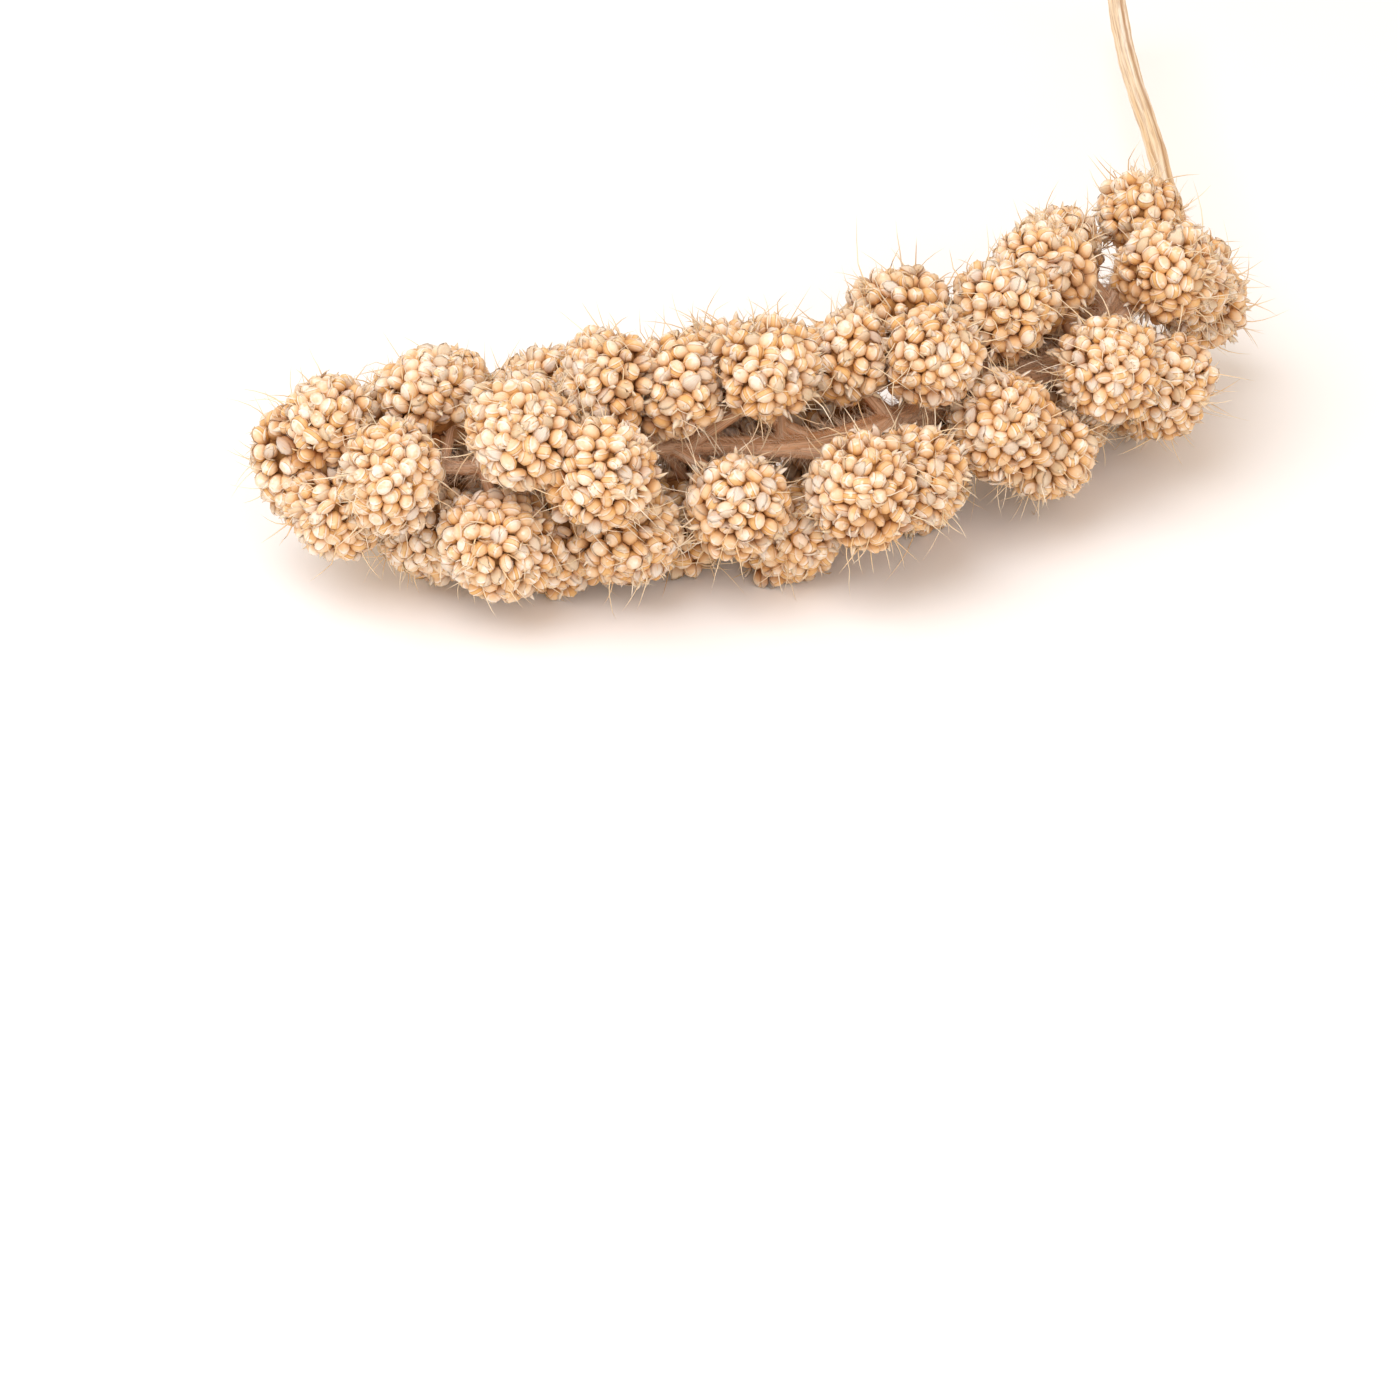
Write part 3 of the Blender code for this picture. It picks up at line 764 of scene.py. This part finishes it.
def finish_surface(tree, colour, rough, height=None, distance=0.05, **more):
    """Ends a material: its colour and roughness, and a fine relief of the given depth in mm."""
    inputs = {"Base Color": colour, "Roughness": rough, "IOR": 1.5}
    inputs.update({name.replace("_", " "): value for name, value in more.items()})
    if height is not None:
        relief = {"Strength": 0.6, "Distance": distance * METRES, "Height": height}
        inputs["Normal"] = add(tree, "Bump", relief)
    shader = add(tree, "BsdfPrincipled", inputs)
    add(tree, "OutputMaterial", {"Surface": shader})


def grain_material():
    """Foxtail millet: a grain grown in a hard husk, dried on the plant.

    The husk is pearly in patches and golden in blotches. Its colour also holds painted light: the
    pearly patches are kept to each grain's top and its side towards the key lamp, and the sides are
    painted golden as a painted glow of light soaking through the husk, turning to painted dark brown
    shade low between the grains. A seam runs along it on both sides of its bulge, dark outside and
    white within. Its blotches are about a millimetre wide, its pearly patches half that. The fine
    ridges of the real husk are drawn about twice as wide, at 0.1 mm, so that they show.
    """
    made, tree, own, tone, depth_and_shade = new_material("millet_grain")
    spread = add(tree, "Math", {0: tone, 1: 31.0}, operation="MULTIPLY")
    shift = add(tree, "CombineXYZ", {"X": spread, "Y": tone, "Z": tone})
    moved = add(tree, "VectorMath", {0: own, 1: shift}, operation="ADD")
    whole = [(0.0, "#ECCC9D"), (0.35, "#F1DAB6"), (0.7, "#F5E4CB"), (1.0, "#F7EBDC")]
    colour = add(tree, "ValToRGB", {"Fac": tone}, whole)
    blotch = add(tree, "TexNoise", {"Vector": moved, "Scale": cells(0.916), "Detail": 1.0})
    colour = tinted(tree, colour, "#E5B56C", blotch, [(0.47, 0.0), (0.57, 0.6)])
    across = add(tree, "SeparateXYZ", {"Vector": own}).outputs["X"]
    across = add(tree, "Math", {0: across}, operation="ABSOLUTE")
    seam = add(tree, "Math", {0: tone, 1: 0.35, 2: -0.3}, operation="MULTIPLY_ADD")
    beyond = add(tree, "Math", {0: across, 1: seam}, operation="SUBTRACT")
    colour = tinted(tree, colour, "#E6B976", beyond, [(0.42, 0.4), (0.5, 0.0)])
    edge = [(0.48, 0.0), (0.51, 0.95), (0.62, 0.85), (0.7, 0.15), (0.95, 0.35)]
    white = add(tree, "ValToRGB", {"Fac": beyond}, edge)
    colour = add(tree, "Mix", {0: white, 6: colour, 7: "#FAF1E8"}, data_type="RGBA")
    line = [(0.38, 0.0), (0.43, 0.6), (0.47, 0.6), (0.5, 0.0)]
    colour = tinted(tree, colour, "#AE763C", beyond, line)
    # Painted glow and shade: golden down each grain's sides, then dark brown low between the grains and
    # away from the key lamp.
    colour = tinted(tree, colour, "#DEA254", depth_and_shade, [(0.2, 0.0), (0.56, 0.7)])
    colour = tinted(tree, colour, "#8E4F1E", depth_and_shade, [(0.47, 0.0), (0.88, 0.88)])
    # Painted light: the pearly patches keep to each grain's top and its side towards the key lamp.
    pearl_on_lit_top = add(tree, "TexNoise", {"Vector": moved, "Scale": cells(0.512), "Detail": 1.0})
    pearl_on_lit_top = add(tree, "Math", {0: pearl_on_lit_top, 1: depth_and_shade}, operation="SUBTRACT")
    colour = tinted(tree, colour, "#FBF1E4", pearl_on_lit_top, [(0.3, 0.0), (0.42, 0.7)])
    ridge = (cells(0.0967), cells(0.0967), cells(0.725))
    drawn = add(tree, "VectorMath", {0: moved, 1: ridge}, operation="MULTIPLY")
    ridges = add(tree, "TexNoise", {"Vector": drawn, "Scale": 1.0})
    height = add(tree, "Math", {0: ridges, 1: 0.3, 2: white}, operation="MULTIPLY_ADD")
    soak = {"Subsurface_Weight": 0.12, "Subsurface_Scale": 0.0006}
    soak["Subsurface_Radius"] = (1.0, 0.78, 0.48)
    finish_surface(tree, colour, 0.6, height, 0.07, Specular_IOR_Level=0.3, **soak)
    return made


def husk_material():
    """Glume: a papery dry leaf scale that hugs the grain, grown thin, so light soaks through it.

    It is paler and duller than the grain, with veins along it about 0.05 mm wide.
    """
    made, tree, own, tone, depth_and_shade = new_material("papery_husk")
    vein = (cells(0.0545, 0.6), cells(1.0, 2.0), 1.0)
    drawn = add(tree, "VectorMath", {0: own, 1: vein}, operation="MULTIPLY")
    veins = add(tree, "TexNoise", {"Vector": drawn, "Scale": 1.0})
    paper = [(0.0, "#EED4AE"), (0.5, "#F4E2CA"), (1.0, "#F9F0E3")]
    colour = add(tree, "ValToRGB", {"Fac": tone}, paper)
    colour = tinted(tree, colour, "#E3B273", veins, [(0.3, 0.0), (0.8, 0.6)])
    # Painted shade: browner down the leaf's sides, low between the grains and away from the key lamp.
    colour = tinted(tree, colour, "#BE7836", depth_and_shade, [(0.22, 0.0), (0.65, 0.75)])
    soak = {"Subsurface_Weight": 0.25, "Subsurface_Scale": 0.0006}
    soak["Subsurface_Radius"] = (1.0, 0.6, 0.35)
    finish_surface(tree, colour, 0.7, veins, 0.03, Specular_IOR_Level=0.3, **soak)
    return made


def core_material():
    """Husk dust and grain stalks packed in the heart of a cluster: rough and matt, brown partly as
    their own colour and partly as painted shade deep between the grains.

    Its specks are about a millimetre wide.
    """
    made, tree, own, _, _ = new_material("cluster_heart")
    grit = {"Vector": own, "Scale": cells(1.111, 1.0), "Detail": 3.0, "Roughness": 0.6}
    speck = add(tree, "TexNoise", grit)
    # Painted shade: the dark browns stand partly for the shade deep between the grains.
    dust_and_shade = [(0.3, "#7A4A22"), (0.55, "#A9753C"), (0.75, "#D09F63")]
    finish_surface(tree, add(tree, "ValToRGB", {"Fac": speck}, dust_and_shade), 0.85, speck, 0.25)
    return made


def bristle_material():
    """Stiff straw-coloured bristle, grown shiny, with a pale tip."""
    made, tree, own, tone, _ = new_material("bristle")
    along = add(tree, "SeparateXYZ", {"Vector": own}).outputs["Z"]
    straw = [(0.0, "#E8C18A"), (0.5, "#F1D6A9"), (1.0, "#FAEAD0")]
    colour = add(tree, "ValToRGB", {"Fac": tone}, straw)
    colour = tinted(tree, colour, "#FDF2DF", along, [(0.2, 0.0), (0.9, 0.5)])
    finish_surface(tree, colour, 0.4)
    return made


def straw_material():
    """Dried grass stem: smooth, waxy and pale on the stem, duller, pinker and furred on the rachis.

    Fibres about 0.17 mm wide and 6 mm long run along it, with darker lines between them, in bands
    about 0.7 mm wide and 20 mm long, and its grooves are brown.
    """
    made, tree, own, head, groove = new_material("dried_stem")
    fibre = (cells(0.175, STEM_RADIUS), cells(0.175, STEM_RADIUS), cells(6.25, 1.0))
    band = (cells(0.656, STEM_RADIUS), cells(0.656, STEM_RADIUS), cells(20.0, 1.0))
    fine = add(tree, "VectorMath", {0: own, 1: fibre}, operation="MULTIPLY")
    broad = add(tree, "VectorMath", {0: own, 1: band}, operation="MULTIPLY")
    fibres = add(tree, "TexNoise", {"Vector": fine, "Scale": 1.0, "Detail": 3.0, "Roughness": 0.6})
    bands = add(tree, "TexNoise", {"Vector": broad, "Scale": 1.0})
    waxy = [(0.35, "#E9CA9E"), (0.55, "#F4E0C1"), (0.7, "#FBF0DE")]
    pink = [(0.35, "#E4AF82"), (0.55, "#F4CBA6"), (0.7, "#FCE0C6")]
    stem = add(tree, "ValToRGB", {"Fac": bands}, waxy)
    rachis = add(tree, "ValToRGB", {"Fac": bands}, pink)
    colour = add(tree, "Mix", {0: head, 6: stem, 7: rachis}, data_type="RGBA")
    colour = tinted(tree, colour, "#98623A", fibres, [(0.38, 0.45), (0.54, 0.0)])
    colour = tinted(tree, colour, "#A9743F", groove, [(0.25, 0.0), (0.9, 0.75)])
    finish_surface(tree, colour, 0.55, fibres, 0.08)
    return made


def hair_material():
    """Soft pale down of the rachis."""
    made, tree, _, tone, _ = new_material("rachis_hair")
    colour = add(tree, "ValToRGB", {"Fac": tone}, [(0.0, "#EEC69C"), (1.0, "#FBE4CC")])
    finish_surface(tree, colour, 0.6)
    return made


def floor_material():
    """Matt white card, pressed flat: even, with clouds about 25 mm wide that hardly show."""
    made, tree, _, _, _ = new_material("white_card")
    place = add(tree, "TexCoord").outputs["Object"]
    clouds = add(tree, "TexNoise", {"Vector": place, "Scale": cells(25.0 * METRES, 1.0)})
    colour = add(tree, "ValToRGB", {"Fac": clouds}, [(0.3, "#FAFBFD"), (0.7, "#FCFDFE")])
    finish_surface(tree, colour, 0.9)
    return made


# Stage


def make_floor():
    """A square of card, 3 metres wide."""
    half = 1.5
    corners = [(-half, -half, 0.0), (half, -half, 0.0), (half, half, 0.0), (-half, half, 0.0)]
    mesh = bpy.data.meshes.new("floor")
    mesh.from_pydata(corners, [], [(0, 1, 2, 3)])
    mesh.materials.append(floor_material())
    floor = bpy.data.objects.new("floor", mesh)
    bpy.context.scene.collection.objects.link(floor)


def aim(obj, place, target):
    """Puts an object at a place, with its -Z axis towards a target and its Y axis upwards."""
    back = unit(np.array(place) - np.array(target))
    side = unit(np.cross([0.0, 0.0, 1.0], back))
    up = np.cross(back, side)
    rows = np.eye(4)
    rows[:3, 0], rows[:3, 1], rows[:3, 2], rows[:3, 3] = side, up, back, place
    obj.matrix_world = Matrix(rows.tolist())


def area_light(name, place, watts, colour):
    """A soft round light, 0.8 m across, that points at the middle of the floor."""
    light = bpy.data.lights.new(name, "AREA")
    light.shape = "DISK"
    light.size = 0.8
    light.energy = watts
    light.color = linear(colour)[:3]
    obj = bpy.data.objects.new(name, light)
    bpy.context.scene.collection.objects.link(obj)
    aim(obj, place, (0.0, 0.0, 0.0))


def make_lights():
    area_light("key", (-0.32, -0.30, 0.80), 5.4, "#F7F9FF")
    area_light("fill", (0.25, -0.85, 0.6), 3.2, "#FAFAFF")
    world = bpy.data.worlds.new("studio")
    world.use_nodes = True
    back = world.node_tree.nodes["Background"]
    back.inputs["Color"].default_value = linear("#FFEBD5")
    back.inputs["Strength"].default_value = 0.7
    bpy.context.scene.world = world


def make_camera():
    data = bpy.data.cameras.new("camera")
    data.sensor_width = 36.0
    data.lens = 95.04
    data.clip_start = 0.01
    camera = bpy.data.objects.new("camera", data)
    bpy.context.scene.collection.objects.link(camera)
    place = np.array([-6.66, -329.05, 182.9]) * METRES
    down = math.radians(35.0)
    look = np.array([0.0, math.cos(down), -math.sin(down)])
    aim(camera, place, place + look)
    bpy.context.scene.camera = camera
    bpy.context.scene.view_settings.view_transform = "Standard"


def dress_clusters(nodes, outlines, draw):
    """A piece of grains in place of each cluster. From the 30th on they swell to crowd together."""
    materials = [grain_material(), husk_material(), core_material(), bristle_material()]
    tips = smooth((np.arange(len(nodes)) - 30.0) / 12.0)
    for outline, tip in zip(outlines, tips):
        outline.join(outlines, 0.5 + 0.9 * float(tip))
    for node, outline, tip in zip(nodes, outlines, tips):
        name = node.replace("cluster", "grains")
        piece = mesh_piece(name, cluster_sheets(outline, tip, draw), materials)
        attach(piece, "root")
        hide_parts(node)


def dress_stalk(outlines, draw):
    axis = Axis()
    sheets = [stalk_sheet(axis), branch_sheet(axis, outlines)]
    stalk = mesh_piece("dressed_stalk", sheets, [straw_material()])
    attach(stalk, "root")
    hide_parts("stalk")
    hairs = [rachis_hair_sheet(axis, draw), branch_hair_sheet(axis, outlines, draw)]
    hair = mesh_piece("rachis_hair", hairs, [hair_material()])
    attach(hair, "root")


def main():
    make_camera()
    make_floor()
    make_lights()
    draw = np.random.default_rng(SEED)
    nodes = sorted(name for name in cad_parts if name.startswith("cluster"))
    outlines = [Outline(node) for node in nodes]
    dress_clusters(nodes, outlines, draw)
    dress_stalk(outlines, draw)


main()
